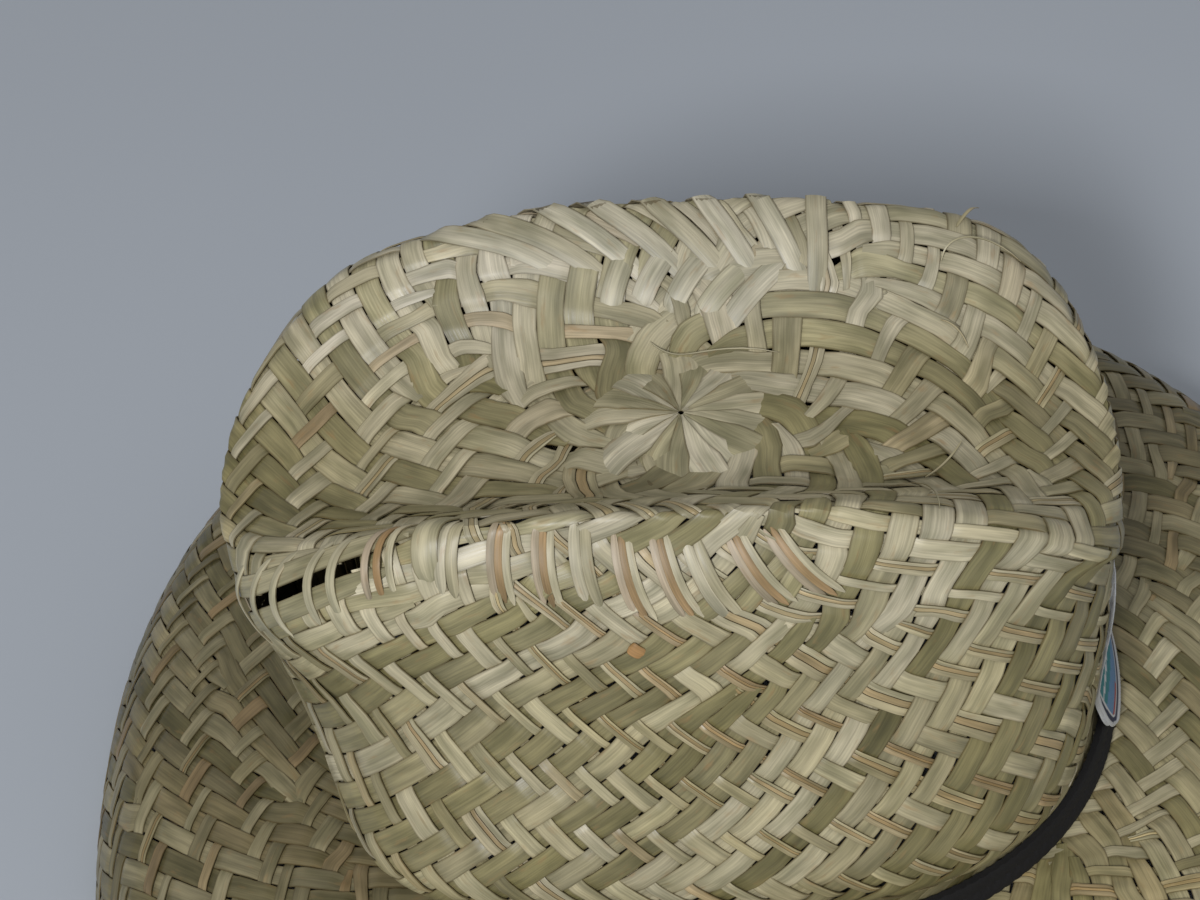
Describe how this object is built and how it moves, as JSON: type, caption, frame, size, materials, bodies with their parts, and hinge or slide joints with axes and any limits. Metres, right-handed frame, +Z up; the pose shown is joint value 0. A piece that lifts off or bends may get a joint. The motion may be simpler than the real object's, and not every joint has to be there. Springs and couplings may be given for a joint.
{
  "type": "straw safari hat",
  "caption": "Woven palm straw hat with a lengthwise dented crown, a bell-shaped brim that rests on its edge, a black band and a plain front badge.",
  "frame": {"origin": "centre of the hat's box at the level of the brim's lower edge, where it rests", "axes": "+X is the front of the hat, where the badge is; +Y is the wearer's left; +Z is up"},
  "size_m": [0.344, 0.343, 0.1635],
  "materials": {
    "crown_straw": "dried palm leaf strips woven in twill, cream to olive, satin",
    "brim_straw": "dried palm leaf strips woven in twill, cream to olive, satin",
    "band_braid": "black braided band, matt",
    "badge_cloth": "printed satin badge with a stitched pale edge"
  },
  "bodies": {
    "root": {"crown": "crown_straw", "brim": "brim_straw", "hat_band": "band_braid", "front_badge": "badge_cloth"}
  },
  "joints": []
}
